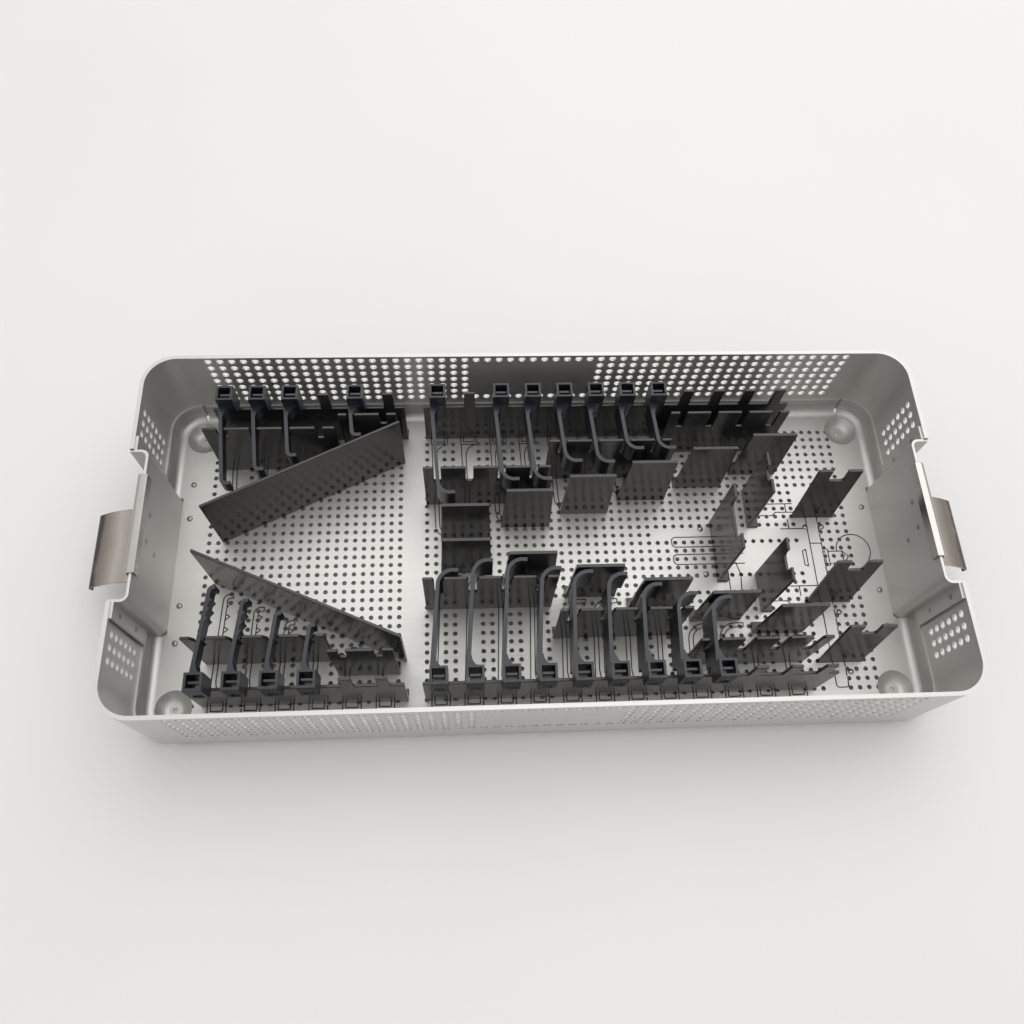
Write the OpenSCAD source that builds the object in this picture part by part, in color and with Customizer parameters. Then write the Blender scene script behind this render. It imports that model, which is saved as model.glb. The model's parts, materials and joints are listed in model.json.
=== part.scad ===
// Perforated instrument tray with lift handles and fitted blade racks.
// Origin at the middle of the rest plane, X along the length, Y to the back, Z up.

/* [Tray] */
// Outside length of the walls
tray_l = 524; // [520:1:530]
// Outside width of the walls
tray_w = 243; // [243:1:250]
// Height from the feet to the rim
tray_h = 82; // [81:0.5:90]
// Outside radius of the four upright corners
corner_r = 22; // [21:0.5:24]
// Thickness of the wall sheet
wall_t = 1.6; // [1.2:0.1:1.6]
// Thickness of the floor sheet
floor_t = 1.2; // [1:0.1:1.4]
// Depth of the dished feet below the floor sheet
foot_h = 5; // [3:0.5:6]
// Bend radius where the floor turns up
cove_r = 8; // [7:0.5:8]
// Height of the upturned edge above the floor
edge_h = 14; // [12:1:15]
// Thickness of the beaded rim
rim_t = 2.6; // [2:0.1:3.2]

/* [End recesses] */
// Half the width of the recess in each end
recess_half = 51; // [48:1:52]
// How far the recess steps inwards
recess_d = 12; // [11:1:13]

/* [Perforation] */
// Pitch of the floor holes
floor_pitch = 6.35; // [6.3:0.05:8]
// Diameter of the floor holes
floor_hole_d = 3.2; // [2.5:0.1:4]
// Pitch of the wall holes
wall_pitch = 7.9; // [7.5:0.1:7.9]
// Diameter of the wall holes
wall_hole_d = 5; // [4:0.1:5.5]

/* [Racks] */
// Thickness of the coated rack sheet
rack_t = 2; // [1.5:0.1:2.2]
// Distance between neighbouring pegs
peg_pitch = 21.8; // [21.6:0.1:21.9]
// Distance of the peg plates from the middle of the tray
peg_y = 98; // [97:0.5:98.5]
// Height of the peg plates above the floor
peg_plate_h = 45; // [43:1:45]
// Height of the peg tips above the floor
peg_h = 63; // [61:1:64]
// Height of the toe stops and dividers above the floor
stop_h = 60; // [56:1:64]

/* [Blades] */
// Outside width of the square socket
socket_w = 11; // [10.9:0.1:11.3]
// Wall of the square socket
socket_t = 1.5; // [1.2:0.1:1.6]
// Thickness of the muscle blades
blade_t = 2.4; // [2:0.1:2.6]

/* [Handles] */
// Width of the handle bracket
bracket_w = 66; // [60:1:80]
// Diameter of the hinge pin
pin_d = 4; // [3.6:0.1:4]

/* [Hidden] */
$fn = 48;
tiny = 0.02;
alu = [0.78, 0.79, 0.78];
polished = [0.82, 0.79, 0.76];
coat = [0.16, 0.16, 0.18];
blade_col = [0.25, 0.26, 0.3];

half_l = tray_l / 2;
half_w = tray_w / 2;
floor_z = foot_h + floor_t;
inner_r = corner_r - wall_t;
corner_x = half_l - corner_r;
corner_y = half_w - corner_r;
panel_x = half_l - recess_d;
edge_top = floor_z + edge_h;
dish_r = inner_r - cove_r - 0.4;
bead_h = 2.2;
clip_t = 1.5;

// ---------- plan shapes ----------
module round_rect(l, w, r) {
    square([l - 2 * r, w], center = true);
    square([l, w - 2 * r], center = true);
    for (sx = [-1, 1], sy = [-1, 1]) {
        translate([sx * (l / 2 - r), sy * (w / 2 - r)]) circle(r = r);
    }
}

module on_side(sx) {
    if (sx < 0) children();
    else mirror([1, 0, 0]) children();
}

// ---------- walls: one sheet round each long side, ending at the recesses ----------
module wall_plan(t) {
    difference() {
        round_rect(tray_l, tray_w, corner_r);
        round_rect(tray_l - 2 * t, tray_w - 2 * t, corner_r - t);
        square([tray_l + 10, 2 * recess_half], center = true);
    }
}

module half_wall(side) {
    intersection() {
        union() {
            translate([0, 0, foot_h]) linear_extrude(tray_h - foot_h) wall_plan(wall_t);
            translate([0, 0, tray_h - bead_h]) linear_extrude(bead_h) wall_plan(rim_t);
        }
        translate([-half_l - 5, side > 0 ? 0 : -half_w - 5, 0]) cube([tray_l + 10, half_w + 5, tray_h + 5]);
    }
}

hole_rows = 7;
hole_reach = 28;
blank_reach = 5;
end_rows = 6;
end_cols = 3;
first_hole_z = floor_z + 22.6;
first_end_hole_y = recess_half + 17;
first_end_hole_z = first_hole_z + 2;
function is_outer_row(k) = k == 0 || k == hole_rows - 1;

module wall_holes(side) {
    for (k = [0:hole_rows - 1], i = [-hole_reach:hole_reach]) {
        if (is_outer_row(k) || abs(i) > blank_reach) {
            translate([i * wall_pitch, side * (half_w + 2), first_hole_z + k * wall_pitch])
                rotate([side * 90, 0, 0]) cylinder(d = wall_hole_d, h = 8, $fn = 24);
        }
    }
    for (k = [0:end_rows - 1], j = [0:end_cols - 1], sx = [-1, 1]) {
        hole_y = side * (first_end_hole_y + j * wall_pitch);
        hole_z = first_end_hole_z + k * wall_pitch;
        translate([sx * (half_l + 2), hole_y, hole_z]) rotate([0, -sx * 90, 0])
            cylinder(d = wall_hole_d, h = 8, $fn = 24);
    }
}

module perforated_wall(side) {
    color(alu) difference() {
        half_wall(side);
        wall_holes(side);
    }
}

module front_wall() { perforated_wall(-1); }
module back_wall() { perforated_wall(1); }

// ---------- recessed end panels: web, two cheeks and two laps ----------
panel_bend_r = 5;
lap_w = 10;
module panel_plan() {
    long = 2 * recess_d + 20;
    difference() {
        translate([-panel_x - long / 2, 0]) round_rect(long, 2 * recess_half, panel_bend_r);
        translate([-panel_x - wall_t - long / 2, 0])
            round_rect(long, 2 * (recess_half - wall_t), panel_bend_r - wall_t);
        translate([-half_l - 60, -recess_half - 10]) square([60, 2 * recess_half + 20]);
    }
}

module end_panel(sx) {
    lap_z = edge_top + 1;
    panel_top = tray_h - clip_t;
    color(alu) on_side(sx) {
        translate([0, 0, foot_h]) linear_extrude(panel_top - foot_h) panel_plan();
        for (sy = [-1, 1]) {
            translate([-half_l + rim_t, sy * (recess_half + lap_w / 2 - tiny / 2), (lap_z + panel_top) / 2])
                translate([wall_t / 2, 0, 0]) cube([wall_t, lap_w + tiny, panel_top - lap_z], center = true);
        }
    }
}

module left_end_panel() { end_panel(-1); }
module right_end_panel() { end_panel(1); }

// ---------- floor ----------
// Bands left unpunched: label strips and the outline of the retractor, as [x0, y0, x1, y1]
bare_boxes = [[-93, -100, -79, 100], [-226, 18, -215, 100], [-226, -100, -215, -18],
    [84, -26, 176, -16], [84, 12, 192, 22], [192, -100, 206, 50], [128, -10, 192, 8]];
function peg_x(k) = -66.5 + k * peg_pitch;
function hook_x(k) = -209.6 + k * peg_pitch;
function inside(x, y, b) = x > b[0] && x < b[2] && y > b[1] && y < b[3];
function in_bare_box(x, y) = max([for (b = bare_boxes) inside(x, y, b) ? 1 : 0]) > 0;
// Blade outlines are unpunched strips beside each peg, shorter towards the right
function beside_peg(x, list) = min([for (p = list) abs(x - p + 4)]) < 4.4;
hook_pegs = [for (k = [0:5]) hook_x(k)];
muscle_pegs = [for (k = [0:11]) peg_x(k)];
function outline_start(x, x0, near, slope) = near + slope * (x - x0);
function is_bare(x, y) = in_bare_box(x, y)
    || (x < -95 && beside_peg(x, hook_pegs) && abs(y) > outline_start(x, -210, 34, 0.46))
    || (x > -78 && beside_peg(x, muscle_pegs) && y > outline_start(x, -66, 27, 0.24))
    || (x > -78 && beside_peg(x, muscle_pegs) && y < -outline_start(x, -66, 16, 0.24));

floor_cols = 36;
floor_rows = 16;
// A hairline round each dished foot keeps it a solid of its own
foot_seam = 0.05;
module floor_plan() {
    difference() {
        round_rect(tray_l - 2 * (wall_t + cove_r), tray_w - 2 * (wall_t + cove_r), inner_r - cove_r);
        for (sx = [-1, 1]) {
            translate([sx * (panel_x + 20), 0]) square([40, 2 * recess_half], center = true);
            for (sy = [-1, 1]) translate([sx * corner_x, sy * corner_y]) circle(r = dish_r + foot_seam);
        }
        for (i = [-floor_cols:floor_cols], j = [-floor_rows:floor_rows - 1]) {
            x = i * floor_pitch;
            y = (j + 0.5) * floor_pitch;
            if (!is_bare(x, y)) translate([x, y]) circle(d = floor_hole_d, $fn = 16);
        }
    }
}

// A foot is a bowl with a flat bottom and a drain hole
drain_r = 1.6;
flat_r = 4;
function bowl_z(r) = r < flat_r ? 0 : foot_h * (1 - cos((r - flat_r) / (dish_r - flat_r) * 90));
function bowl_r(i, steps) = drain_r + (dish_r - drain_r) * i / steps;
module foot_bowl() {
    steps = 8;
    under = [for (i = [0:steps]) [bowl_r(i, steps), bowl_z(bowl_r(i, steps))]];
    over = [for (i = [steps:-1:0]) [bowl_r(i, steps), bowl_z(bowl_r(i, steps)) + floor_t]];
    rotate_extrude() polygon(concat(under, over));
}

module floor_pan() {
    color(alu) {
        translate([0, 0, foot_h]) linear_extrude(floor_t) floor_plan();
        for (sx = [-1, 1], sy = [-1, 1]) translate([sx * corner_x, sy * corner_y, 0]) foot_bowl();
    }
}

// Section of the upturned edge: 0 is the wall face, growing inwards
module edge_section(top_z) {
    translate([0, foot_h + cove_r]) square([floor_t, top_z - cove_r - foot_h]);
    intersection() {
        translate([cove_r, foot_h + cove_r]) difference() {
            circle(r = cove_r);
            circle(r = cove_r - floor_t);
        }
        translate([0, foot_h]) square([cove_r, cove_r]);
    }
}

module straight_edge(length, top_z) {
    rotate([90, 0, 0]) translate([0, 0, -length / 2]) linear_extrude(length) edge_section(top_z);
}

module pan_edge() {
    relief = 2;
    stub_l = corner_y - recess_half;
    color(alu) {
        for (sy = [-1, 1]) {
            translate([0, sy * (half_w - wall_t), 0]) rotate([0, 0, -sy * 90])
                straight_edge(2 * (corner_x - relief), edge_top);
        }
        for (a = [0, 180]) rotate([0, 0, a]) {
            for (sy = [-1, 1]) translate([-half_l + wall_t, sy * (recess_half + stub_l / 2), 0])
                straight_edge(stub_l, edge_top);
        }
        for (q = [0:3]) {
            sx = q == 0 || q == 3 ? 1 : -1;
            sy = q < 2 ? 1 : -1;
            translate([sx * corner_x, sy * corner_y, 0]) rotate([0, 0, q * 90]) rotate_extrude(angle = 90)
                translate([inner_r, 0]) mirror([1, 0]) edge_section(edge_top);
        }
    }
}

// ---------- lift handles, drawn for the left end ----------
knuckle_w = 7;
knuckle_r = pin_d / 2 + 1.5;
pin_x = -half_l + 2.5;
pin_z = floor_z + 36;
leg_x = -panel_x - 3.6;
handle_w = bracket_w - 2 * knuckle_w - 0.8;
running = 0.16;

module bracket_section() {
    over_r = 3;
    inner_x = -panel_x + 1.6;
    outer_x = leg_x - clip_t;
    leg_z = pin_z + knuckle_r + 2;
    translate([inner_x - clip_t, tray_h - 8]) square([clip_t, 8 - tiny]);
    translate([outer_x + over_r, tray_h - clip_t]) square([inner_x - outer_x - over_r, clip_t]);
    translate([outer_x, leg_z]) square([clip_t, tray_h - over_r - leg_z]);
    intersection() {
        translate([outer_x + over_r, tray_h - over_r]) difference() {
            circle(r = over_r);
            circle(r = over_r - clip_t);
        }
        translate([outer_x, tray_h - over_r]) square(over_r);
    }
}

module bracket() {
    color(polished) difference() {
        union() {
            rotate([90, 0, 0]) translate([0, 0, -bracket_w / 2]) linear_extrude(bracket_w) bracket_section();
            for (sy = [-1, 1]) translate([0, sy * (bracket_w - knuckle_w) / 2, 0]) {
                translate([pin_x, 0, pin_z]) rotate([90, 0, 0])
                    cylinder(r = knuckle_r, h = knuckle_w, center = true);
                translate([pin_x, -knuckle_w / 2, pin_z])
                    cube([leg_x - pin_x, knuckle_w, knuckle_r + 3]);
            }
        }
        translate([pin_x, 0, pin_z]) rotate([90, 0, 0]) cylinder(d = pin_d, h = bracket_w + 2, center = true);
    }
}

// The flap is one wide arc and a tight curl at its outer edge
flap_r = 60;
flap_sweep = 34;
curl_r = 3.5;
flap_t = 1.5;
module arc_band(r, t, a0, a1) {
    steps = 12;
    function turn(i) = a0 + (a1 - a0) * i / steps;
    outer = [for (i = [0:steps]) r * [cos(turn(i)), sin(turn(i))]];
    inner = [for (i = [steps:-1:0]) (r - t) * [cos(turn(i)), sin(turn(i))]];
    polygon(concat(outer, inner));
}

module flap_section() {
    centre_z = knuckle_r - tiny - flap_r;
    end_a = 90 + flap_sweep;
    translate([0, centre_z]) arc_band(flap_r, flap_t, 90, end_a);
    translate([(flap_r - curl_r) * cos(end_a), centre_z + (flap_r - curl_r) * sin(end_a)])
        arc_band(curl_r, flap_t, end_a - 1, end_a + 110);
}

module handle() {
    color(polished) difference() {
        translate([pin_x, 0, pin_z]) rotate([90, 0, 0]) {
            cylinder(r = knuckle_r, h = handle_w, center = true);
            translate([0, 0, -handle_w / 2]) linear_extrude(handle_w) flap_section();
        }
        translate([pin_x, 0, pin_z]) rotate([90, 0, 0])
            cylinder(d = pin_d + running, h = bracket_w + 2, center = true);
    }
}

module hinge_pins() {
    color(alu) for (sx = [-1, 1]) on_side(sx) translate([pin_x, 0, pin_z]) rotate([90, 0, 0]) {
        cylinder(d = pin_d, h = bracket_w, center = true);
        for (sy = [-1, 1]) translate([0, 0, sy * (bracket_w / 2 + 0.5)])
            cylinder(r = knuckle_r - 0.5, h = 1, center = true);
    }
}

module left_bracket() { on_side(-1) bracket(); }
module right_bracket() { on_side(1) bracket(); }
module left_handle() { on_side(-1) handle(); }
module right_handle() { on_side(1) handle(); }

// ---------- rack sheets: a plate standing on a short foot folded to the back ----------
rack_foot = 8;
module slot_shape(x, bottom, top, w, r, flare) {
    translate([x - w / 2, bottom + r]) square([w, top - bottom]);
    translate([x - w / 2 + r, bottom]) square([w - 2 * r, r + tiny]);
    for (s = [-1, 1]) translate([x + s * (w / 2 - r), bottom + r]) circle(r = r, $fn = 24);
    if (flare > 0) translate([x, top])
        polygon([[-w / 2, -1.4 * flare], [w / 2, -1.4 * flare], [w / 2 + flare, 1], [-w / 2 - flare, 1]]);
}

module plate(w, h) {
    translate([-w / 2, 0, floor_z]) cube([w, rack_t, h]);
    translate([-w / 2, 0, floor_z]) cube([w, rack_foot, rack_t]);
}

module comb(x0, x1, y, h, slot_xs, slot_z, slot_w, flare) {
    mid = (x0 + x1) / 2;
    color(coat) translate([mid, y, 0]) difference() {
        plate(x1 - x0, h);
        translate([0, rack_t + 1, floor_z]) rotate([90, 0, 0]) linear_extrude(rack_t + 2)
            for (x = slot_xs) slot_shape(x - mid, slot_z, h, slot_w, 1, flare);
    }
}

tab_w = 7.4;
module peg_plate(x0, x1, y, pegs) {
    color(coat) {
        translate([(x0 + x1) / 2, y, 0]) plate(x1 - x0, peg_plate_h);
        for (x = pegs) translate([x - tab_w / 2, y, floor_z + rack_t]) cube([tab_w, rack_t, peg_h - rack_t]);
    }
}

plate_y = peg_y - rack_t / 2;
module hook_peg_plate() { peg_plate(-222, -90, plate_y, hook_pegs); }
module toothed_peg_plate() { peg_plate(-222, -88, -plate_y - rack_t, hook_pegs); }
module narrow_peg_plate() { peg_plate(-77, 184, plate_y, muscle_pegs); }
module wide_peg_plate() { peg_plate(-77, 184, -plate_y - rack_t, muscle_pegs); }

// A shank leaves the left of its socket and leans to the right, and its slot lies on that line
slot_w = 5;
wide_slot_w = 5.6;
hook_lean = 6;
toothed_lean = 6;
narrow_leans = [4, 4.5, 4];
wide_leans = [4, 2.5, 2.5];
function place_set(k) = floor(k / 4);
function past_socket(y) = peg_y - socket_w / 2 - abs(y);
function slot_offset(y, lean) = (blade_t - socket_w) / 2 + tan(lean) * past_socket(y);
hook_slot_z = 46;
narrow_slot_z = 38;
wide_slot_z = 34.5;
function hook_slots(a, b, y, lean) = [for (k = [a:b]) hook_x(k) + slot_offset(y, lean)];
function muscle_slots(a, b, y, lean) = [for (k = [a:b]) peg_x(k) + slot_offset(y, lean)];

module hook_row_comb(x0, x1, y, h, a, b) {
    comb(x0, x1, y, h, hook_slots(a, b, y + rack_t / 2, hook_lean), hook_slot_z, slot_w, 0);
}
module toothed_row_comb(x0, x1, y, h, a, b, flare) {
    comb(x0, x1, y, h, hook_slots(a, b, y + rack_t / 2, toothed_lean), hook_slot_z, slot_w, flare);
}
module hook_comb() { hook_row_comb(-224, -136, 73.4, 59, 0, 3); }
module hook_comb_short() { hook_row_comb(-134.5, -95, 84, 58, 4, 5); }
module toothed_comb() { toothed_row_comb(-222, -136, -71, 60, 0, 3, 3); }
module toothed_comb_short() { toothed_row_comb(-134, -94, -81, 60, 4, 5, 0); }

muscle_slot_sets = [[0, 3], [4, 7], [8, 11]];
comb_left = [10.2, 11.5, 12.8];
comb_span = [86, 84, 84];
module muscle_comb(n, y, h, slot_z, w, flare, lean) {
    set = muscle_slot_sets[n];
    x0 = peg_x(set[0]) - comb_left[n];
    slots = muscle_slots(set[0], set[1], y + rack_t / 2, lean);
    comb(x0, x0 + comb_span[n], y, h, slots, slot_z, w, flare);
}
module narrow_comb_1() { muscle_comb(0, 42.8, 57, narrow_slot_z, slot_w, 0, narrow_leans[0]); }
module narrow_comb_2() { muscle_comb(1, 62, 57, narrow_slot_z, slot_w, 0, narrow_leans[1]); }
module narrow_comb_3() { muscle_comb(2, 83, 57, narrow_slot_z, slot_w, 0, narrow_leans[2]); }
module wide_comb_1() { muscle_comb(0, -36.5, 60, wide_slot_z, wide_slot_w, 1.5, wide_leans[0]); }
module wide_comb_2() { muscle_comb(1, -59, 60, wide_slot_z, wide_slot_w, 1.5, wide_leans[1]); }
module wide_comb_3() { muscle_comb(2, -80, 60, wide_slot_z, wide_slot_w, 1.5, wide_leans[2]); }

// Diagonal dividers between the hook, toothed and open bays
module divider(x0, y0, x1, y1) {
    run = norm([x1 - x0, y1 - y0]);
    color(coat) translate([x0, y0, 0]) rotate([0, 0, atan2(y1 - y0, x1 - x0)]) {
        translate([0, 0, floor_z]) cube([run, rack_t, stop_h]);
        translate([8, 0, floor_z]) cube([run - 24, rack_foot, rack_t]);
    }
}
module hook_divider() { divider(-219, 16, -92, 77); }
module toothed_divider() { divider(-222, -14, -90, -73); }

// Toe stops: six tapered plates a size apart
module toe_stop() {
    base_w = 35;
    top_w = 31;
    translate([0, rack_t, floor_z]) rotate([90, 0, 0]) linear_extrude(rack_t)
        polygon([[-base_w / 2, 0], [base_w / 2, 0], [top_w / 2, stop_h], [-top_w / 2, stop_h]]);
    translate([-base_w / 2, 0, floor_z]) cube([base_w, rack_foot, rack_t]);
}
stop_x0 = -48.8;
stop_step_x = 42.7;
stop_step_y = 9.8;
function stop_x(n) = stop_x0 + n * stop_step_x;
function narrow_stop_y(n) = 14 + n * stop_step_y;
function wide_stop_y(n) = -10.4 - n * stop_step_y;
module narrow_toe_stops() {
    color(coat) for (n = [0:5]) translate([stop_x(n), narrow_stop_y(n), 0]) toe_stop();
}
module wide_toe_stops() {
    color(coat) for (n = [0:5]) translate([stop_x(n), wide_stop_y(n), 0]) toe_stop();
}

// U-notched cradles for a retractor's arms and cross bar
module cradle_notch(h, notch_w, notch_z) {
    translate([0, rack_t + 1, floor_z]) rotate([90, 0, 0]) linear_extrude(rack_t + 2)
        slot_shape(0, notch_z, h, notch_w, 2, 0);
}
module cradle(w, h, notch_w, notch_z) {
    color(coat) difference() {
        plate(w, h);
        cradle_notch(h, notch_w, notch_z);
    }
}
arm_places = [[155.5, 35], [156, -29.5]];
module arm_cradle(x, y, w, h, notch_w, notch_z) {
    translate([x, y, 0]) rotate([0, 0, -90]) cradle(w, h, notch_w, notch_z);
}
// The bar cradles lean to the back and stand on a bead along their lower edge
bar_w = 30;
bar_h = 62;
bar_lean = 6;
bar_bead = 2.4;
module bar_cradle(y) {
    color(coat) translate([204.6, y, 0]) {
        translate([0, rack_t, floor_z]) rotate([-bar_lean, 0, 0]) translate([0, -rack_t, -floor_z]) difference() {
            translate([-bar_w / 2, 0, floor_z]) cube([bar_w, rack_t, bar_h]);
            cradle_notch(bar_h, 11, 50);
        }
        translate([-bar_w / 2 - 1, 0, floor_z]) cube([bar_w + 2, bar_bead, 1.2]);
    }
}
module arm_cradle_1() { arm_cradle(128, 2, 46, 65, 25, 54); }
module arm_cradle_2() { arm_cradle(arm_places[0].x, arm_places[0].y, 30, 61, 10, 55); }
module arm_cradle_3() { arm_cradle(arm_places[1].x, arm_places[1].y, 29, 67, 12, 58.5); }
module bar_cradle_1() { bar_cradle(27.2); }
module bar_cradle_2() { bar_cradle(-38); }
module bar_cradle_3() { bar_cradle(-81); }

// ---------- rivet heads: on the rack feet and along the ends of the floor ----------
foot_mid = rack_t + (rack_foot - rack_t) / 2;
comb_rivets = [[-200, 73.4], [-160, 73.4], [-125, 84], [-104, 84], [-200, -71], [-160, -71],
    [-125, -81], [-104, -81], [-60, 42.8], [-8, 42.8], [27, 62], [79, 62], [114, 83], [166, 83],
    [-60, -36.5], [-8, -36.5], [27, -59], [79, -59], [114, -80], [166, -80]];
peg_rivets = [-200, -155, -110, -55, 10, 75, 140];
end_rivets = [[244, 61.6], [244, 35], [244, -29.7], [244, -56]];
floor_rivets = [[211.5, -45.2], [198.5, -45.2], [199, -87.6], [211.6, -87.6], [198.7, 19.7], [210.6, 19.7],
    [121, 19.8], [121, -14.9]];
module rivet(x, y, z) {
    translate([x, y, z]) rotate_extrude()
        polygon([[0, 0], [2, 0], [1.9, 0.5], [1.4, 0.85], [0.7, 1.05], [0, 1.1]]);
}
module rivets() {
    top = floor_z + rack_t;
    color(alu) {
        for (p = comb_rivets) rivet(p[0], p[1] + foot_mid, top);
        for (x = peg_rivets, y = [plate_y, -plate_y - rack_t]) rivet(x, y + foot_mid, top);
        for (n = [0:5], y = [narrow_stop_y(n), wide_stop_y(n)]) rivet(stop_x(n), y + foot_mid, top);
        for (p = floor_rivets) rivet(p[0], p[1], floor_z);
        for (p = arm_places, s = [-1, 1]) rivet(p.x + foot_mid, p.y + s * 8, top);
        for (p = end_rivets, sx = [-1, 1]) rivet(sx * p[0], p[1], floor_z);
    }
}

// ---------- blades: drawn with the socket at the origin and the toe towards -Y ----------
socket_low = peg_plate_h + 0.5;
socket_high = peg_h + 3;
window_w = 6.4;
window_h = 6;
module socket() {
    height = socket_high - socket_low;
    translate([0, 0, floor_z + socket_low]) difference() {
        linear_extrude(height) difference() {
            square(socket_w, center = true);
            square(socket_w - 2 * socket_t, center = true);
        }
        translate([-window_w / 2, socket_w / 2 - socket_t - 1, 2.5]) cube([window_w, socket_t + 2, window_h]);
    }
}

// Shank leaning to the right, toe arc and toe reach, drawn from the corner of the socket
module shank_plan(reach_y, t, toe_r, toe_reach) {
    translate([0, -reach_y + toe_r]) square([t, reach_y - toe_r + 1.2]);
    intersection() {
        translate([toe_r, -reach_y + toe_r]) difference() {
            circle(r = toe_r);
            circle(r = toe_r - t);
        }
        translate([0, -reach_y]) square(toe_r);
    }
    translate([toe_r - tiny, -reach_y]) square([toe_reach, t]);
}

// The shank and the concave web that joins it to the socket
module blade_plan(length, t, toe_r, toe_reach, lean) {
    left = -socket_w / 2;
    web_r = socket_w - t - 1.2;
    intersection() {
        translate([left, -socket_w / 2]) rotate(lean) shank_plan(length - socket_w / 2, t, toe_r, toe_reach);
        translate([left, -length - 5]) square([60, length + 5 - socket_w / 2 + tiny]);
    }
    difference() {
        translate([left + t - tiny, -socket_w / 2 - web_r]) square([web_r + 1.2, web_r + tiny]);
        translate([left + t + web_r + 1.2, -socket_w / 2 - web_r]) circle(r = web_r);
    }
}

module toe_serrations(length, t, toe_r, toe_reach, height, count) {
    cut = 2.2;
    for (n = [0:count - 1]) {
        translate([toe_r + toe_reach, socket_w / 2 - length + t / 2, (n + 0.5) * height / count])
            rotate([0, 45, 0]) cube([cut, t + 2, cut], center = true);
    }
}

module blade(length, height, low, t, toe_r, toe_reach, teeth, lean) {
    color(blade_col) {
        socket();
        translate([0, 0, floor_z + low]) difference() {
            linear_extrude(height) blade_plan(length, t, toe_r, toe_reach, lean);
            translate([-socket_w / 2, -socket_w / 2, 0]) rotate([0, 0, lean])
                toe_serrations(length, t, toe_r, toe_reach, height, teeth);
        }
    }
}

module barbs(length, t, lean) {
    translate([-socket_w / 2, -socket_w / 2]) rotate(lean)
        for (n = [1:3]) translate([t - tiny, socket_w / 2 - length + 4 + 6 * n])
            polygon([[0, 1.4], [1.8, -1.2], [0, -1.6]]);
}

small_t = 2.4;
small_h = 10.5;
slot_gap = 0.6;
hook_places = [0, 1, 2, 4];
hook_lengths = [65, 55, 45, 30];
module hook_blade(n) {
    color(blade_col) translate([hook_x(hook_places[n]), peg_y, 0]) {
        socket();
        translate([0, 0, floor_z + hook_slot_z + slot_gap]) linear_extrude(small_h)
            blade_plan(hook_lengths[n], small_t, 4.5, 2.5, hook_lean);
    }
}

toothed_lengths = [63, 54, 45, 37];
module toothed_blade(n) {
    color(blade_col) translate([hook_x(n), -peg_y, 0]) mirror([0, 1, 0]) {
        socket();
        translate([0, 0, floor_z + hook_slot_z + slot_gap]) linear_extrude(small_h) {
            blade_plan(toothed_lengths[n], small_t, 3.6, 1, toothed_lean);
            if (n < 2) barbs(toothed_lengths[n], small_t, toothed_lean);
        }
    }
}

narrow_places = [0, 2, 3, 4, 5, 6, 7];
narrow_lengths = [74, 65, 65, 52, 53, 43, 43];
module narrow_blade(n) {
    translate([peg_x(narrow_places[n]), peg_y, 0])
        blade(narrow_lengths[n], 18, narrow_slot_z + slot_gap, blade_t, 9, 3, 4,
            narrow_leans[place_set(narrow_places[n])]);
}

wide_lengths = [70.2, 76.5, 76.5, 70.2, 67, 65, 57.5, 51, 48];
module wide_blade(n) {
    translate([peg_x(n), -peg_y, 0]) mirror([0, 1, 0])
        blade(wide_lengths[n], 25, wide_slot_z + slot_gap, blade_t, 11, 2.5, 5, wide_leans[place_set(n)]);
}

module hook_blade_1() { hook_blade(0); }
module hook_blade_2() { hook_blade(1); }
module hook_blade_3() { hook_blade(2); }
module hook_blade_4() { hook_blade(3); }
module toothed_blade_1() { toothed_blade(0); }
module toothed_blade_2() { toothed_blade(1); }
module toothed_blade_3() { toothed_blade(2); }
module toothed_blade_4() { toothed_blade(3); }
module narrow_blade_1() { narrow_blade(0); }
module narrow_blade_2() { narrow_blade(1); }
module narrow_blade_3() { narrow_blade(2); }
module narrow_blade_4() { narrow_blade(3); }
module narrow_blade_5() { narrow_blade(4); }
module narrow_blade_6() { narrow_blade(5); }
module narrow_blade_7() { narrow_blade(6); }
module wide_blade_1() { wide_blade(0); }
module wide_blade_2() { wide_blade(1); }
module wide_blade_3() { wide_blade(2); }
module wide_blade_4() { wide_blade(3); }
module wide_blade_5() { wide_blade(4); }
module wide_blade_6() { wide_blade(5); }
module wide_blade_7() { wide_blade(6); }
module wide_blade_8() { wide_blade(7); }
module wide_blade_9() { wide_blade(8); }

floor_pan();
pan_edge();
front_wall();
back_wall();
left_end_panel();
right_end_panel();
left_bracket();
left_handle();
right_bracket();
right_handle();
hinge_pins();
rivets();
hook_peg_plate();
toothed_peg_plate();
narrow_peg_plate();
wide_peg_plate();
hook_comb();
hook_comb_short();
toothed_comb();
toothed_comb_short();
narrow_comb_1();
narrow_comb_2();
narrow_comb_3();
wide_comb_1();
wide_comb_2();
wide_comb_3();
hook_divider();
toothed_divider();
narrow_toe_stops();
wide_toe_stops();
arm_cradle_1();
arm_cradle_2();
arm_cradle_3();
bar_cradle_1();
bar_cradle_2();
bar_cradle_3();
hook_blade_1();
hook_blade_2();
hook_blade_3();
hook_blade_4();
toothed_blade_1();
toothed_blade_2();
toothed_blade_3();
toothed_blade_4();
narrow_blade_1();
narrow_blade_2();
narrow_blade_3();
narrow_blade_4();
narrow_blade_5();
narrow_blade_6();
narrow_blade_7();
wide_blade_1();
wide_blade_2();
wide_blade_3();
wide_blade_4();
wide_blade_5();
wide_blade_6();
wide_blade_7();
wide_blade_8();
wide_blade_9();
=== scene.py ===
"""Looks for the instrument tray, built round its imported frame.

Everything is in metres in the shared frame. Printed outlines, bead sizes and weld places are
written in millimetres and scaled by MM.
"""

import json
import math

import bmesh
import bpy
from mathutils import Matrix, Vector
from mathutils.bvhtree import BVHTree


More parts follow.
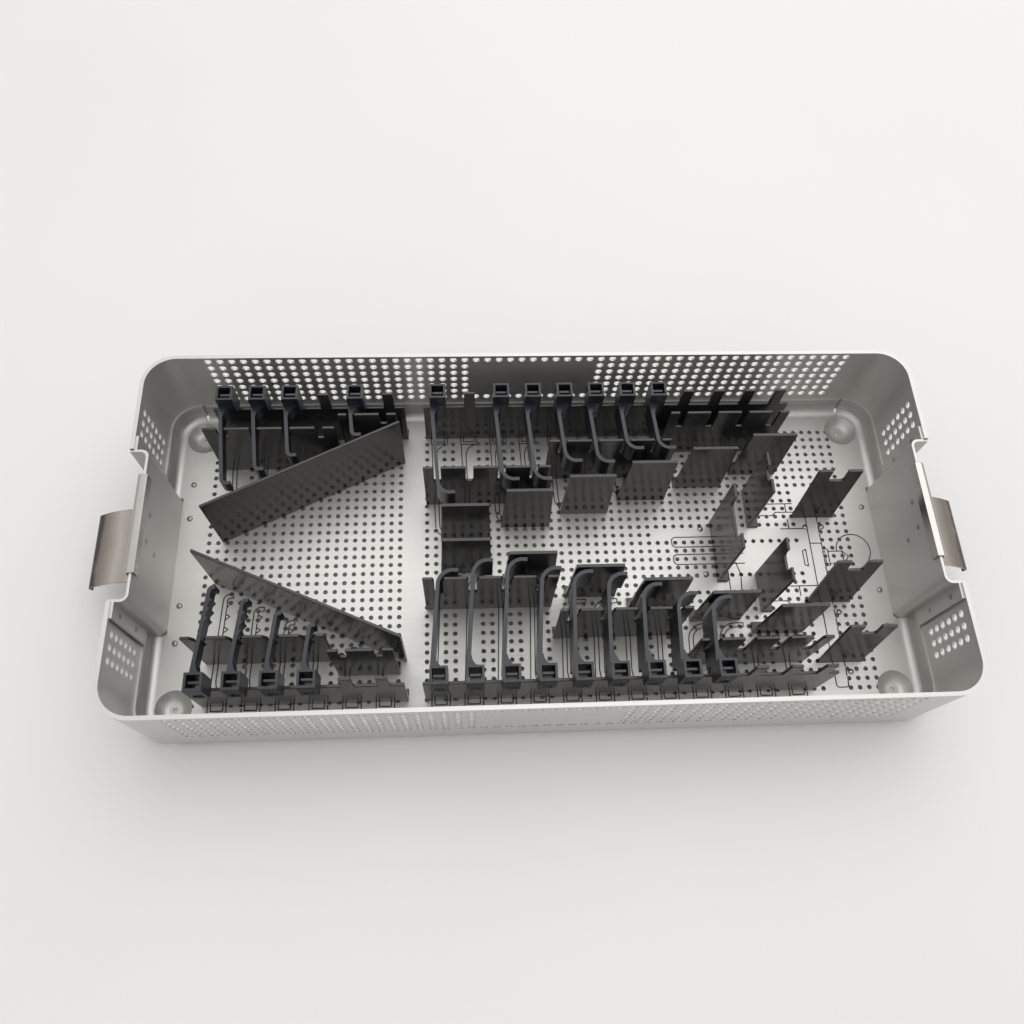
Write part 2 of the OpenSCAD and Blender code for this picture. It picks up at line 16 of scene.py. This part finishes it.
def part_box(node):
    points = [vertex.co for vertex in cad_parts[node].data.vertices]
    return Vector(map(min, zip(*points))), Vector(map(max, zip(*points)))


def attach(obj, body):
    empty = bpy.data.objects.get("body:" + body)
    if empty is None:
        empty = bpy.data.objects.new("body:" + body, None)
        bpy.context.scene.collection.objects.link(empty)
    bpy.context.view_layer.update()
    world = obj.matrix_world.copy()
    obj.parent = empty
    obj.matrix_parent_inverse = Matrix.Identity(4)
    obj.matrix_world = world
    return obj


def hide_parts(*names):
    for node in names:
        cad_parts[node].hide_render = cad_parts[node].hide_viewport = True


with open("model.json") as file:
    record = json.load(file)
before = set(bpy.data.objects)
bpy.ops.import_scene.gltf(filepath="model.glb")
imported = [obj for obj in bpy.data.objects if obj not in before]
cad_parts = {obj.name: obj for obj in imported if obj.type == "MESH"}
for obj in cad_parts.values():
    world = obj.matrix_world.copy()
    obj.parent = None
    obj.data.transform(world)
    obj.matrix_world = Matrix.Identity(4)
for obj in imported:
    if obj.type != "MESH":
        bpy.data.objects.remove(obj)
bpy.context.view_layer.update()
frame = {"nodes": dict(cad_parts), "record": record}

MM = 0.001
ROOT = "tray"
NODES = frame["nodes"]
SLOT_OF = {s["node"]: s["material_slot"] for s in frame["record"]["subparts"]}
BODY_OF = {n: b for b, ns in frame["record"]["behaviour"]["bodies"].items() for n in ns}
FLOOR_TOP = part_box("rivets")[0].z


# ---------------------------------------------------------------- shader helpers
class Graph:
    """A node material under construction, around one Principled BSDF."""

    def __init__(self, name):
        self.material = bpy.data.materials.new(name)
        self.material.use_nodes = True
        self.tree = self.material.node_tree
        self.shader = self.tree.nodes["Principled BSDF"]
        self.coords = self.add("ShaderNodeTexCoord").outputs["Object"]

    def add(self, kind, **settings):
        node = self.tree.nodes.new(kind)
        for key, value in settings.items():
            setattr(node, key, value)
        return node

    def link(self, source, target):
        self.tree.links.new(source, target)

    def stretched(self, scale):
        node = self.add("ShaderNodeMapping")
        node.inputs["Scale"].default_value = scale
        self.link(self.coords, node.inputs["Vector"])
        return node.outputs["Vector"]

    def noise(self, scale, detail=4.0, roughness=0.55, vector=None):
        node = self.add("ShaderNodeTexNoise")
        node.inputs["Scale"].default_value = scale
        node.inputs["Detail"].default_value = detail
        node.inputs["Roughness"].default_value = roughness
        self.link(vector or self.coords, node.inputs["Vector"])
        return node.outputs["Fac"]

    def ramp(self, factor, stops):
        node = self.add("ShaderNodeValToRGB")
        elements = node.color_ramp.elements
        while len(elements) < len(stops):
            elements.new(0.5)
        for element, (place, color) in zip(elements, stops):
            element.position = place
            element.color = (*color, 1) if len(color) == 3 else color
        self.link(factor, node.inputs["Fac"])
        return node.outputs["Color"]

    def spread(self, factor, low, high, start=0.3, end=0.7):
        node = self.add("ShaderNodeMapRange")
        node.inputs["From Min"].default_value = start
        node.inputs["From Max"].default_value = end
        node.inputs["To Min"].default_value = low
        node.inputs["To Max"].default_value = high
        self.link(factor, node.inputs["Value"])
        return node.outputs["Result"]

    def math(self, operation, a, b):
        node = self.add("ShaderNodeMath", operation=operation)
        for value, socket in zip((a, b), node.inputs):
            if isinstance(value, (int, float)):
                socket.default_value = value
            else:
                self.link(value, socket)
        return node.outputs["Value"]

    def bump(self, heights):
        """Stacks (height, strength, distance) bumps and feeds the shader's normal."""
        previous = None
        for height, strength, distance in heights:
            node = self.add("ShaderNodeBump")
            node.inputs["Strength"].default_value = strength
            node.inputs["Distance"].default_value = distance
            self.link(height, node.inputs["Height"])
            if previous:
                self.link(previous, node.inputs["Normal"])
            previous = node.outputs["Normal"]
        self.link(previous, self.shader.inputs["Normal"])

    def set(self, **values):
        for key, value in values.items():
            self.shader.inputs[key.replace("_", " ")].default_value = value


# ---------------------------------------------------------------- materials
# Painted reflection bands across brackets and handles, alternating light and dark and darkest at the
# lip, from the hinge side (0) to the lip (1).
POLISH_REFLECTION_BANDS = [
    (0.0, (0.46, 0.445, 0.425)),
    (0.22, (0.50, 0.47, 0.44)),
    (0.42, (0.36, 0.33, 0.30)),
    (0.60, (0.52, 0.48, 0.44)),
    (0.80, (0.38, 0.34, 0.30)),
    (0.93, (0.30, 0.26, 0.23)),
    (0.985, (0.10, 0.09, 0.085)),
]
INK_DARK = (0.02, 0.02, 0.022)
INK_THIN = (0.05, 0.05, 0.052)
PAPER_DARK = (0.715, 0.706, 0.706)
PAPER_LIGHT = (0.735, 0.726, 0.726)


def satin_aluminium(name, low, high, rough, metallic):
    """Blasted and anodised sheet: fine grain, rolling lines, cloudy handling marks."""
    g = Graph(name)
    clouds = g.noise(11, 6, 0.6)
    rolling = g.noise(1, 3, 0.6, g.stretched((12, 900, 900)))
    grain = g.noise(2600, 2, 0.5)
    g.link(g.ramp(clouds, [(0.25, low), (0.75, high)]), g.shader.inputs["Base Color"])
    marks = g.spread(clouds, rough - 0.05, rough + 0.06)
    streaks = g.spread(rolling, -0.03, 0.03)
    g.link(g.math("ADD", marks, streaks), g.shader.inputs["Roughness"])
    g.bump([(rolling, 0.10, 0.00003), (grain, 0.28, 0.00004)])
    g.set(Metallic=metallic)
    return g.material


def polished_steel(name, near, far):
    """Formed stainless strip: brushed run along Y, soft smears, and painted reflection bands,
    alternating light and dark and darkest at the lip, from the hinge side (near, in metres from the
    middle) to the lip (far)."""
    g = Graph(name)
    parts = g.add("ShaderNodeSeparateXYZ")
    g.link(g.coords, parts.inputs["Vector"])
    reach = g.spread(g.math("ABSOLUTE", parts.outputs["X"], 0), 0, 1, near, far)
    brushed = g.noise(1, 4, 0.65, g.stretched((2600, 25, 2600)))
    smears = g.noise(45, 5, 0.6)
    wander = g.math("ADD", reach, g.spread(smears, -0.05, 0.05))
    # Base colour: painted reflection bands by distance from the middle, blurred a little by the smears.
    g.link(g.ramp(wander, POLISH_REFLECTION_BANDS), g.shader.inputs["Base Color"])
    fine = g.spread(brushed, -0.04, 0.05)
    g.link(g.math("ADD", g.spread(smears, 0.15, 0.26), fine), g.shader.inputs["Roughness"])
    g.bump([(brushed, 0.16, 0.00002)])
    g.set(Metallic=1.0)
    return g.material


def black_coating(name, low, high, rough, grain_axis):
    """Semi-gloss coating: orange peel, hairline scuffs and a slow change of depth."""
    g = Graph(name)
    clouds = g.noise(60, 5, 0.6)
    peel = g.noise(700, 2, 0.5)
    scuffs = g.noise(1, 5, 0.75, g.stretched(grain_axis))
    g.link(g.ramp(clouds, [(0.3, low), (0.72, high)]), g.shader.inputs["Base Color"])
    rubbed = g.spread(scuffs, -0.02, 0.06, 0.5, 0.8)
    dull = g.spread(clouds, rough - 0.02, rough + 0.05)
    g.link(g.math("ADD", dull, rubbed), g.shader.inputs["Roughness"])
    g.bump([(peel, 0.02, 0.00004), (scuffs, 0.02, 0.00002)])
    return g.material


def edge_wear_and_shade(name, low, high):
    """Rolled edges: patches of lighter, smoother metal where the coating has thinned, over a tone from
    low to high.
    The racks' tone is set darker than their coating: painted shade that makes their edges read as black
    lines.
    """
    g = Graph(name)
    patches = g.noise(190, 5, 0.7)
    g.link(g.ramp(patches, [(0.46, low), (0.72, high)]), g.shader.inputs["Base Color"])
    g.link(g.spread(patches, 0.4, 0.26), g.shader.inputs["Roughness"])
    g.bump([(g.noise(1500, 2, 0.5), 0.1, 0.00003)])
    return g.material


def printed_ink(name):
    """Screen-printed line: near black, matt, slightly uneven."""
    g = Graph(name)
    blots = g.noise(500, 3, 0.6)
    g.link(g.ramp(blots, [(0.3, INK_DARK), (0.75, INK_THIN)]), g.shader.inputs["Base Color"])
    g.link(g.spread(blots, 0.5, 0.68), g.shader.inputs["Roughness"])
    g.bump([(blots, 0.1, 0.00002)])
    return g.material


def pale_floor(name):
    """Matt backdrop paper with a very faint mottle."""
    g = Graph(name)
    paper = g.noise(3, 4, 0.5)
    g.link(g.ramp(paper, [(0.3, PAPER_DARK), (0.7, PAPER_LIGHT)]), g.shader.inputs["Base Color"])
    g.set(Roughness=0.7)
    return g.material


HINGE_SIDE = 0.252
LIP_SIDE = 0.2915
RACK_SCUFFS = (300, 300, 8)
BLADE_SCUFFS = (900, 30, 900)
MATERIALS = {
    "tray": satin_aluminium(
        "tray_satin", (0.55, 0.545, 0.525), (0.61, 0.605, 0.58), 0.44, 0.75),
    "polished": polished_steel("bracket_polish", HINGE_SIDE, LIP_SIDE),
    "fasteners": satin_aluminium(
        "fastener_steel", (0.26, 0.26, 0.25), (0.36, 0.36, 0.35), 0.30, 1.0),
    "rack": black_coating(
        "rack_coating", (0.020, 0.018, 0.019), (0.038, 0.035, 0.036), 0.18, RACK_SCUFFS),
    "blade": black_coating(
        "blade_coating", (0.010, 0.011, 0.016), (0.018, 0.020, 0.028), 0.30, BLADE_SCUFFS),
}
EDGES = {
    # Rack edges are darker than the rack coating: painted shade so they read as black lines. Blade
    # edges are lighter: worn coating.
    "rack": edge_wear_and_shade("rack_edge", (0.006, 0.006, 0.006), (0.016, 0.016, 0.016)),
    "blade": edge_wear_and_shade("blade_edge", (0.015, 0.016, 0.020), (0.050, 0.051, 0.060)),
}
INK = printed_ink("floor_ink")


# ---------------------------------------------------------------- piece helpers
def piece(name, mesh, slot, *materials):
    """A new object on the tray body, with the given materials; the slot argument is not used."""
    made = bpy.data.objects.new(name, mesh)
    bpy.context.scene.collection.objects.link(made)
    for material in materials:
        mesh.materials.append(material)
    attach(made, ROOT)
    return made


def mesh_from(name, verts, faces):
    """A mesh from loose lists of points and faces."""
    mesh = bpy.data.meshes.new(name)
    mesh.from_pydata([tuple(v) for v in verts], [], faces)
    mesh.validate()
    return mesh


FUSE_DISTANCE = 1e-6
FLAT_ANGLE = math.radians(0.5)
SHARP_DEGREES = 50
BEVEL_SEGMENTS = 2


def softened(node, width):
    """Stands for a CAD node: the same solid with its sharp edges rolled over."""
    source = NODES[node]
    mesh = source.data.copy()
    mesh.materials.clear()
    bm = bmesh.new()
    bm.from_mesh(mesh)
    bmesh.ops.remove_doubles(bm, verts=bm.verts, dist=FUSE_DISTANCE)
    bmesh.ops.dissolve_limit(bm, angle_limit=FLAT_ANGLE, verts=bm.verts, edges=bm.edges)
    bm.to_mesh(mesh)
    bm.free()
    made = bpy.data.objects.new(node + "_skin", mesh)
    bpy.context.scene.collection.objects.link(made)
    slot = SLOT_OF[node]
    mesh.materials.append(MATERIALS[slot])
    mesh.materials.append(EDGES.get(slot, MATERIALS[slot]))
    bevel = made.modifiers.new("roll", "BEVEL")
    bevel.width = width
    bevel.segments = BEVEL_SEGMENTS
    bevel.limit_method = "ANGLE"
    bevel.angle_limit = math.radians(SHARP_DEGREES)
    bevel.material = 1
    bevel.use_clamp_overlap = True
    apply_modifiers(made)
    shade(made.data, SHARP_DEGREES)
    weighted = made.modifiers.new("flat_faces", "WEIGHTED_NORMAL")
    weighted.keep_sharp = True
    weighted.weight = 100
    apply_modifiers(made)
    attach(made, BODY_OF[node])
    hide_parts(node)
    return made


def apply_modifiers(made):
    """Bakes the modifiers into the object's mesh."""
    graph = bpy.context.evaluated_depsgraph_get()
    done = bpy.data.meshes.new_from_object(made.evaluated_get(graph))
    made.modifiers.clear()
    made.data = done


def shade(mesh, angle):
    """Smooth faces, with edges sharper than angle kept crisp."""
    bm = bmesh.new()
    bm.from_mesh(mesh)
    for face in bm.faces:
        face.smooth = True
    for edge in bm.edges:
        edge.smooth = len(edge.link_faces) == 2 and edge.calc_face_angle(0) < math.radians(angle)
    bm.to_mesh(mesh)
    bm.free()


# ---------------------------------------------------------------- CAD nodes
EDGE_ROLL = {"rack": 0.35 * MM, "blade": 0.35 * MM, "polished": 0.3 * MM}


def dress_nodes():
    """Every node gets its slot's material; coated and polished nodes get rolled edges too."""
    for node, obj in NODES.items():
        obj.data.materials.clear()
        obj.data.materials.append(MATERIALS[SLOT_OF[node]])
    for node in NODES:
        if SLOT_OF[node] in EDGE_ROLL:
            softened(node, EDGE_ROLL[SLOT_OF[node]])


# ---------------------------------------------------------------- printed floor outlines
def arc(cx, cy, radius, start, end, steps=10):
    """Points along an arc, angles in degrees."""
    angles = [math.radians(start + (end - start) * i / steps) for i in range(steps + 1)]
    return [(cx + radius * math.cos(a), cy + radius * math.sin(a)) for a in angles]


def rounded_bar(x0, y0, x1, y1, radius):
    """A bar outline with round corners at its left end and open at its right."""
    top = arc(x0 + radius, y1 - radius, radius, 90, 180, 5)
    low = arc(x0 + radius, y0 + radius, radius, 180, 270, 5)
    return [(x1, y1)] + top + low + [(x1, y0)]


def square(cx, cy, half):
    """A closed square outline."""
    corners = [(-half, -half), (half, -half), (half, half), (-half, half), (-half, -half)]
    return [(cx + dx, cy + dy) for dx, dy in corners]


SHEET_GAP = 3.0
SOCKET_HALF = 6.0
SOCKET_INNER = 4.0
BARB_PITCH = 9


def blade_outline(x, peg_y, length, toe_r, reach, slope, teeth=0):
    """Plan of one stored blade as printed lines, leaning to the right by slope.

    Blades pegged at the back point to the front, so their plan is mirrored.
    """
    way = -1 if peg_y > 0 else 1
    left = x - SOCKET_HALF
    place = lambda points: [(left + u + v * slope, peg_y + way * v) for u, v in points]
    bend = [(u, length - toe_r - v) for u, v in arc(toe_r, 0, toe_r, 180, 270)]
    inner_bend = [(u, length - toe_r - v) for u, v in arc(toe_r, 0, toe_r - SHEET_GAP, 180, 270)]
    end = toe_r + reach
    web = [(11, 6), (8, 7), (5, 9.5), (3.6, 12.5), (SHEET_GAP, 16)]
    outer = place([(0, SOCKET_HALF)] + bend + [(end, length)])
    barbs = []
    for n in range(teeth):
        v = length - 8 - BARB_PITCH * n
        barbs.append(place([(SHEET_GAP, v + 2.5), (SHEET_GAP + 3, v + 1), (SHEET_GAP, v - 1.5)]))
    inner = place(web + inner_bend + [(end, length - SHEET_GAP), (end, length)])
    return [outer, inner, square(x, peg_y, SOCKET_HALF), square(x, peg_y, SOCKET_INNER)] + barbs


PEG_PITCH = 21.8
PEG_Y = 98
MUSCLE_PLACES = 12
MUSCLE_X = -67
MUSCLE_STEP = 9.8
NARROW_LONGEST = 81
WIDE_LONGEST = 86
HOOK_PLACES = 6
HOOK_X = -212.4
HOOK_STEP = 10
HOOK_LONGEST = 76
MOST_BARBS = 3
# Toe radius, reach past the toe and lean per mm of length.
NARROW_TOE = (9, 6, 0.04)
WIDE_TOE = (11, 6, 0.04)
HOOK_TOE = (4.5, 3, 0.05)
TOOTHED_TOE = (4.5, 2, 0.05)


def outline_lines():
    """Every printed line: narrow and wide rows, hook and toothed rows, and the retractor."""
    lines = []
    for k in range(MUSCLE_PLACES):
        x = MUSCLE_X + k * PEG_PITCH
        shorter = MUSCLE_STEP * (k // 2)
        lines += blade_outline(x, PEG_Y, NARROW_LONGEST - shorter, *NARROW_TOE)
        lines += blade_outline(x, -PEG_Y, WIDE_LONGEST - shorter, *WIDE_TOE)
    for k in range(HOOK_PLACES):
        x = HOOK_X + k * PEG_PITCH
        length = HOOK_LONGEST - HOOK_STEP * k
        lines += blade_outline(x, PEG_Y, length, *HOOK_TOE)
        lines += blade_outline(x, -PEG_Y, length, *TOOTHED_TOE, max(0, MOST_BARBS - k // 2))
    return lines + retractor_lines()


def retractor_lines():
    """Outline of the spreader that the cradles hold: two arms, a bar, a knob and its ring."""
    mid_y = -3.3
    arms = [rounded_bar(99, 6, 150, 13.6, 3), rounded_bar(99, -7.3, 150, 0.3, 3)]
    bar_end = arc(202, -96, 2, 180, 270, 5) + arc(206.4, -96, 2, 270, 360, 5)
    bar = [(200, 40), (200, -96)] + bar_end + [(208.4, 40)]
    knob = [[(193.5, -9.5), (193.5, 1), (196, 2.5), (196, -10.5), (193.5, -9.5)],
            [(212, -10.5), (209.6, -10.5), (209.6, 2.5), (212, 2.5), (212, -10.5)],
            [(212, 0.5), (222.5, 0.5), (226.5, -3.6), (222.5, -9), (212, -9)],
            [(222.5, 0.5), (222.5, -9)]]
    ring = arc(231, 1, 12.4, 180, -38, 20)
    steps = []
    for s in (-1, 1):
        at = lambda points: [(px, mid_y + s * py) for px, py in points]
        steps += [at([(164, 32.8), (176, 32.8), (178.4, 35.2), (193, 35.2)]),
                  at([(170, 42), (192, 42)]),
                  at([(186.5, 42), (186.5, 35.2)]),
                  at([(180, 22), (200, 22)]),
                  at([(186.5, 22), (186.5, 29.5)])]
        steps += [at([(137, 9.5), (137, 24)]), at([(143.3, 3), (145.8, 12), (145, 24)])]
    return arms + [bar] + knob + [ring, [(200, 7), (208.4, 7)]] + steps


def resample(points, step):
    """Points no further apart than step along the polyline."""
    out = [Vector(points[0])]
    for a, b in zip(points, points[1:]):
        a, b = Vector(a), Vector(b)
        count = max(1, math.ceil((b - a).length / step))
        out += [a.lerp(b, i / count) for i in range(1, count + 1)]
    return out


INK_WIDTH = 0.8
INK_HEIGHT = 0.06
INK_STEP = 0.7
PROBE_DEPTH = 1.4 * MM


def print_lines():
    """Thin closed strips of ink on the floor sheet, left out over the holes."""
    tree = BVHTree.FromObject(NODES["floor_pan"], bpy.context.evaluated_depsgraph_get())
    verts, faces = [], []

    def on_sheet(p):
        above = Vector((p.x * MM, p.y * MM, FLOOR_TOP + MM))
        return tree.ray_cast(above, Vector((0, 0, -1)), PROBE_DEPTH)[0] is not None

    def strip(run):
        base = len(verts)
        for i, p in enumerate(run):
            before, after = run[max(i - 1, 0)], run[min(i + 1, len(run) - 1)]
            along = (after - before).normalized()
            side = Vector((-along.y, along.x)) * INK_WIDTH / 2
            high, low = INK_HEIGHT, -INK_HEIGHT / 2
            for q, z in ((p + side, high), (p - side, high), (p - side, low), (p + side, low)):
                verts.append((q.x * MM, q.y * MM, FLOOR_TOP + z * MM))
        for i in range(len(run) - 1):
            a = base + 4 * i
            for j in range(4):
                faces.append((a + j, a + (j + 1) % 4, a + 4 + (j + 1) % 4, a + 4 + j))
        last = base + 4 * (len(run) - 1)
        faces.extend([(base + 3, base + 2, base + 1, base), (last, last + 1, last + 2, last + 3)])

    for line in outline_lines():
        run = []
        for p in resample(line, INK_STEP) + [None]:
            if p is not None and on_sheet(p):
                run.append(p)
                continue
            if len(run) > 1:
                strip(run)
            run = []
    piece("floor_outlines", mesh_from("floor_outlines", verts, faces), "rack", INK)


# ---------------------------------------------------------------- rim and weld marks
def swept(path, radius, sides):
    """A round bead along an open path of points in metres, capped at both ends."""
    verts, faces = [], []
    count = len(path)
    for i, p in enumerate(path):
        before = path[i - 1] if i > 0 else p
        after = path[i + 1] if i < count - 1 else p
        along = (after - before).normalized()
        side = along.cross(Vector((0, 0, 1))).normalized()
        up = side.cross(along)
        for j in range(sides):
            a = 2 * math.pi * j / sides
            verts.append(p + (side * math.cos(a) + up * math.sin(a)) * radius)
    for i in range(count - 1):
        for j in range(sides):
            a, b = i * sides, (i + 1) * sides
            faces.append((a + j, a + (j + 1) % sides, b + (j + 1) % sides, b + j))
    faces += [tuple(range(sides))[::-1], tuple(range((count - 1) * sides, count * sides))]
    return verts, faces


BEAD_RADIUS = 1.3 * MM
BEAD_SIDES = 12
WALL_CORNER = 22 * MM
SMOOTH_DEGREES = 40


def rim_beads():
    """The rolled top edge of each wall, from recess to recess."""
    radius = BEAD_RADIUS
    for node, side in (("front_wall", -1), ("back_wall", 1)):
        low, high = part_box(node)
        half_x, half_y = high.x - radius, max(abs(low.y), abs(high.y)) - radius
        start_y = min(abs(low.y), abs(high.y))
        cx, cy = half_x - WALL_CORNER + radius, half_y - WALL_CORNER + radius
        r = WALL_CORNER - radius
        plan = [(-half_x, start_y)]
        for a in range(0, 91, 6):
            plan.append((-cx + r * math.cos(math.radians(180 - a)), cy + r * math.sin(math.radians(a))))
        for a in range(0, 91, 6):
            plan.append((cx + r * math.cos(math.radians(90 - a)), cy + r * math.cos(math.radians(a))))
        plan.append((half_x, start_y))
        path = [Vector((x, side * y, high.z - radius)) for x, y in plan]
        name = node + "_bead"
        mesh = mesh_from(name, *swept(path, radius, BEAD_SIDES))
        shade(piece(name, mesh, "tray", MATERIALS["tray"]).data, SMOOTH_DEGREES)


# Radius and height of a weld's rings in mm; the middle point's height is a share of the last one's.
WELD_PROFILE = [(1.9, 0.0), (1.75, 0.12), (1.4, 0.16), (1.0, 0.05), (0.5, 0.07)]
WELD_MIDDLE = 0.8
WELD_SIDES = 24
# Where they are in mm: across the tray and up from the floor.
WELD_PLACES = {"web": [(12, 58), (-6, 58), (-9, 42)], "lap": [(56, 34), (56, 62)]}
LAP_X = 257.8 * MM


def lathe(profile, centre, out):
    """A round mark: profile is (radius, height) in mm, standing on centre along out."""
    sides = WELD_SIDES
    centre = Vector(centre)
    out = Vector(out).normalized()
    across = out.orthogonal().normalized()
    other = out.cross(across)
    verts = [centre]
    for radius, height in profile:
        for j in range(sides):
            a = 2 * math.pi * j / sides
            spoke = across * math.cos(a) + other * math.sin(a)
            verts.append(centre + spoke * radius * MM + out * height * MM)
    verts.append(centre + out * profile[-1][1] * MM * WELD_MIDDLE)
    faces = [(0, 1 + (j + 1) % sides, 1 + j) for j in range(sides)]
    for ring in range(len(profile) - 1):
        a, b = 1 + ring * sides, 1 + (ring + 1) * sides
        faces += [(a + j, a + (j + 1) % sides, b + (j + 1) % sides, b + j) for j in range(sides)]
    top = 1 + (len(profile) - 1) * sides
    faces += [(top + j, top + (j + 1) % sides, len(verts) - 1) for j in range(sides)]
    return verts, faces


def weld_marks():
    """Spot welds that hold the recessed end panels to their brackets and walls."""
    web_x = min(abs(v.co.x) for v in NODES["left_end_panel"].data.vertices)
    verts, faces = [], []
    for sx in (-1, 1):
        spots = [(web_x, y, z) for y, z in WELD_PLACES["web"]]
        spots += [(LAP_X, s * y, z) for y, z in WELD_PLACES["lap"] for s in (-1, 1)]
        for x, y, z in spots:
            centre = (sx * x, y * MM, FLOOR_TOP + z * MM)
            ring_verts, ring_faces = lathe(WELD_PROFILE, centre, (-sx, 0, 0))
            base = len(verts)
            verts += ring_verts
            faces += [tuple(base + i for i in f) for f in ring_faces]
    mesh = mesh_from("weld_marks", verts, faces)
    shade(piece("weld_marks", mesh, "fasteners", MATERIALS["fasteners"]).data, SMOOTH_DEGREES)


# ---------------------------------------------------------------- studio
FLOOR_HALF = 6
LIGHT_PLACE = (0.45, 0.9, 1.8)
LIGHT_TARGET = (0, 0.05, 0)
LIGHT_SIZE = 2.6
LIGHT_POWER = 20.5
HORIZON = (0.50, 0.49, 0.48, 1)
ZENITH = (1.05, 1.045, 1.03, 1)


def studio():
    """Pale floor, one large soft light high behind the right, and a sky brightest overhead."""
    h = FLOOR_HALF
    stage = bpy.data.meshes.new("studio_floor")
    stage.from_pydata([(-h, -h, 0), (h, -h, 0), (h, h, 0), (-h, h, 0)], [], [(0, 1, 2, 3)])
    stage.materials.append(pale_floor("studio_paper"))
    floor = bpy.data.objects.new("studio_floor", stage)
    bpy.context.scene.collection.objects.link(floor)
    area_light("overhead", LIGHT_PLACE, LIGHT_TARGET, LIGHT_SIZE, LIGHT_POWER)
    world = bpy.data.worlds.new("studio_world")
    world.use_nodes = True
    tree = world.node_tree
    sky = tree.nodes.new("ShaderNodeTexCoord")
    split = tree.nodes.new("ShaderNodeSeparateXYZ")
    ramp = tree.nodes.new("ShaderNodeValToRGB")
    ramp.color_ramp.elements[0].color = HORIZON
    ramp.color_ramp.elements[1].color = ZENITH
    tree.links.new(sky.outputs["Generated"], split.inputs["Vector"])
    tree.links.new(split.outputs["Z"], ramp.inputs["Fac"])
    tree.links.new(ramp.outputs["Color"], tree.nodes["Background"].inputs["Color"])
    tree.nodes["Background"].inputs["Strength"].default_value = 1.0
    bpy.context.scene.world = world
    bpy.context.scene.view_settings.view_transform = "Standard"


def area_light(name, place, target, size, power):
    """A round soft light at place, turned to target."""
    data = bpy.data.lights.new(name, "AREA")
    data.shape = "DISK"
    data.size = size
    data.energy = power
    lamp = bpy.data.objects.new(name, data)
    lamp.location = place
    lamp.rotation_euler = (Vector(target) - Vector(place)).to_track_quat("-Z", "Y").to_euler()
    bpy.context.scene.collection.objects.link(lamp)


CAMERA_PLACE = (-0.0503, -0.2240, 0.5890)
CAMERA_FORWARD = (0.0552, 0.4067, -0.9119)
CAMERA_RIGHT = (0.9983, -0.0384, 0.0433)
# Lens and sensor width in mm.
LENS = 31.02
SENSOR = 36


def camera():
    """Above the front of the tray, looking steeply down and to the back."""
    data = bpy.data.cameras.new("camera")
    data.sensor_width = SENSOR
    data.lens = LENS
    data.clip_start = 0.01
    view = bpy.data.objects.new("camera", data)
    forward = Vector(CAMERA_FORWARD).normalized()
    right = Vector(CAMERA_RIGHT)
    right = (right - forward * right.dot(forward)).normalized()
    up = right.cross(forward)
    view.matrix_world = Matrix.Translation(CAMERA_PLACE) @ Matrix(
        (right, up, -forward)).transposed().to_4x4()
    bpy.context.scene.collection.objects.link(view)
    bpy.context.scene.camera = view


camera()
studio()
dress_nodes()
print_lines()
rim_beads()
weld_marks()
